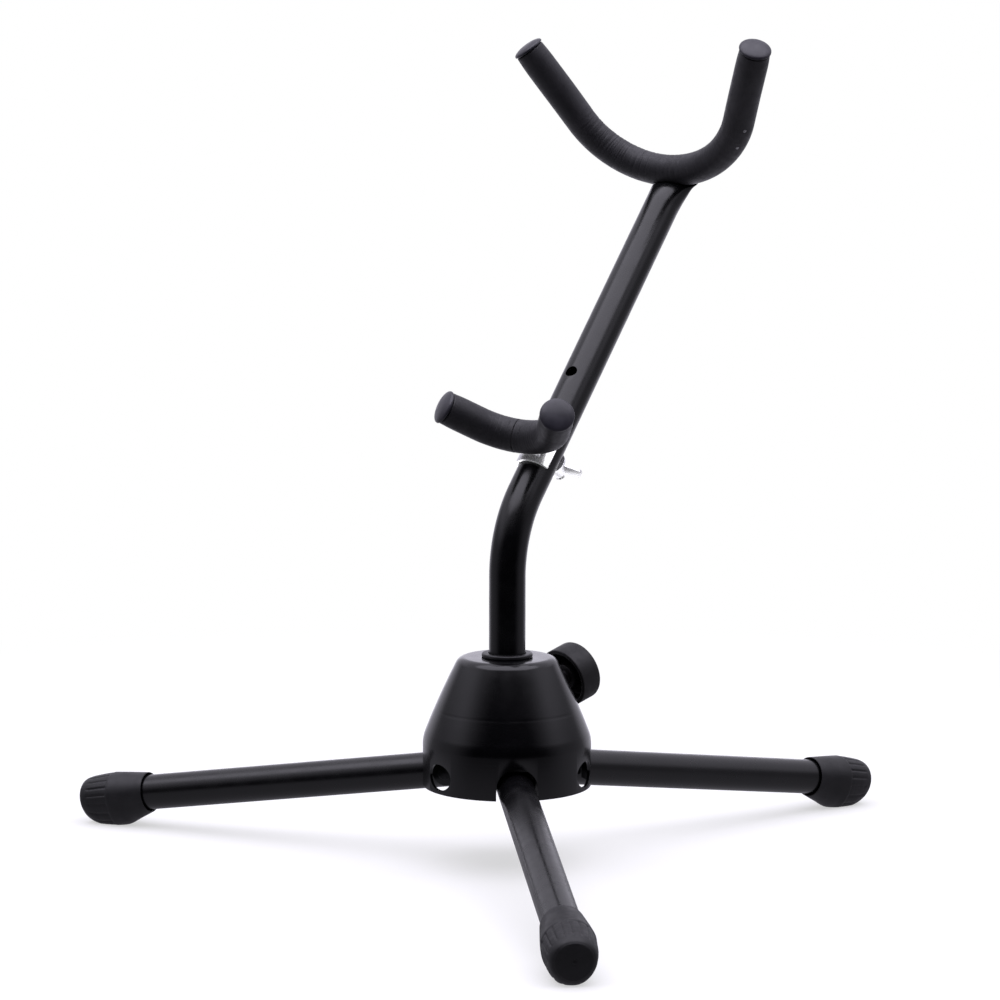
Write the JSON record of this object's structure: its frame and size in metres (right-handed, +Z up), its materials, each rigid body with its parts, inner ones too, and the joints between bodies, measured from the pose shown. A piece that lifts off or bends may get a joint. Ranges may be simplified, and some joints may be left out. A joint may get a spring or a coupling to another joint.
{
  "type": "saxophone stand",
  "caption": "Folding floor stand for a saxophone: tube legs on a spun steel hub, a leaning post that slides and turns, and foam-covered yokes that cradle the instrument.",
  "frame": {"origin": "on the floor, under the middle of the bounding box; the post's vertical run is at X 0.0395, Y -0.0209", "axes": "+Z up; +Y towards the back, the way the post leans; the yokes open towards -Y; +X to the right as seen from the front"},
  "size_m": [0.4172, 0.4356, 0.4275],
  "materials": {
    "powder_coat": "satin black powder coat on steel",
    "foam": "matt charcoal closed-cell foam with fine wrinkles inside the bends",
    "rubber": "matt moulded rubber",
    "black_plastic": "fine matt moulding",
    "cap_plastic": "smooth satin moulding",
    "nylon": "natural nylon",
    "zinc": "bright zinc plate",
    "black_steel": "blackened steel"
  },
  "bodies": {
    "hub": {"hub_shell": "powder_coat", "post_sleeve": "powder_coat", "lower_guide_bush": "black_plastic", "clamp_nut": "zinc", "leg_bracket_1": "powder_coat", "leg_bracket_2": "powder_coat", "leg_bracket_3": "powder_coat", "leg_pin_1": "black_steel", "leg_pin_2": "black_steel", "leg_pin_3": "black_steel"},
    "leg_1": {"leg_tube_1": "powder_coat", "rubber_foot_1": "rubber"},
    "leg_2": {"leg_tube_2": "powder_coat", "rubber_foot_2": "rubber"},
    "leg_3": {"leg_tube_3": "powder_coat", "rubber_foot_3": "rubber"},
    "swivel": {"top_bushing": "black_plastic"},
    "post": {"post_tube": "powder_coat", "upper_yoke_tube": "powder_coat", "upper_foam": "foam", "upper_end_cap_left": "cap_plastic", "upper_end_cap_right": "cap_plastic", "lower_yoke_tube": "powder_coat", "lower_foam_left": "foam", "lower_foam_right": "foam", "lower_end_cap_left": "cap_plastic", "lower_end_cap_right": "cap_plastic", "saddle_bracket": "zinc", "yoke_stud": "zinc"},
    "clamp_slider": {"clamp_pad": "nylon"},
    "clamp": {"clamp_screw": "black_steel", "clamp_knob": "black_plastic"},
    "washer": {"yoke_washer": "zinc"},
    "wing": {"wing_nut": "zinc"}
  },
  "joints": [
    {"name": "leg_1_fold", "type": "hinge", "parent": "hub", "child": "leg_1", "pos_m": [0.05888, -0.04374, 0.0476], "axis": [0.7627, 0.6468, 0], "range_deg": [0, 81]},
    {"name": "leg_2_fold", "type": "hinge", "parent": "hub", "child": "leg_2", "pos_m": [0.04959, 0.00738, 0.0476], "axis": [-0.9415, 0.3371, 0], "range_deg": [0, 81]},
    {"name": "leg_3_fold", "type": "hinge", "parent": "hub", "child": "leg_3", "pos_m": [0.00996, -0.02623, 0.0476], "axis": [0.1788, -0.9839, 0], "range_deg": [0, 81]},
    {"name": "post_swivel", "type": "hinge", "parent": "hub", "child": "swivel", "pos_m": [0.03947, -0.02086, 0.1], "axis": [0, 0, 1], "continuous": true},
    {"name": "post_height", "type": "slide", "parent": "swivel", "child": "post", "axis": [0, 0, 1], "range_m": [-0.035, 0.015]},
    {"name": "clamp_advance", "type": "slide", "parent": "hub", "child": "clamp_slider", "axis": [0.2168, 0.9389, 0.2672], "range_m": [0, 0.00374]},
    {"name": "clamp_turn", "type": "hinge", "parent": "clamp_slider", "child": "clamp", "pos_m": [0.03947, -0.02086, 0.0812], "axis": [0.2168, 0.9389, 0.2672], "range_deg": [0, 1080]},
    {"name": "wing_nut_advance", "type": "slide", "parent": "post", "child": "washer", "axis": [0, 0.7254, -0.6884], "range_m": [0, 0.00299]},
    {"name": "wing_nut_turn", "type": "hinge", "parent": "washer", "child": "wing", "pos_m": [0.03947, 0.01498, 0.21295], "axis": [0, 0.7254, -0.6884], "range_deg": [0, 1080]}
  ],
  "couplings": [
    {"joint": "clamp_turn", "follows": "clamp_advance", "rad_per_m": 5026.5},
    {"joint": "wing_nut_turn", "follows": "wing_nut_advance", "rad_per_m": 6283.2}
  ]
}
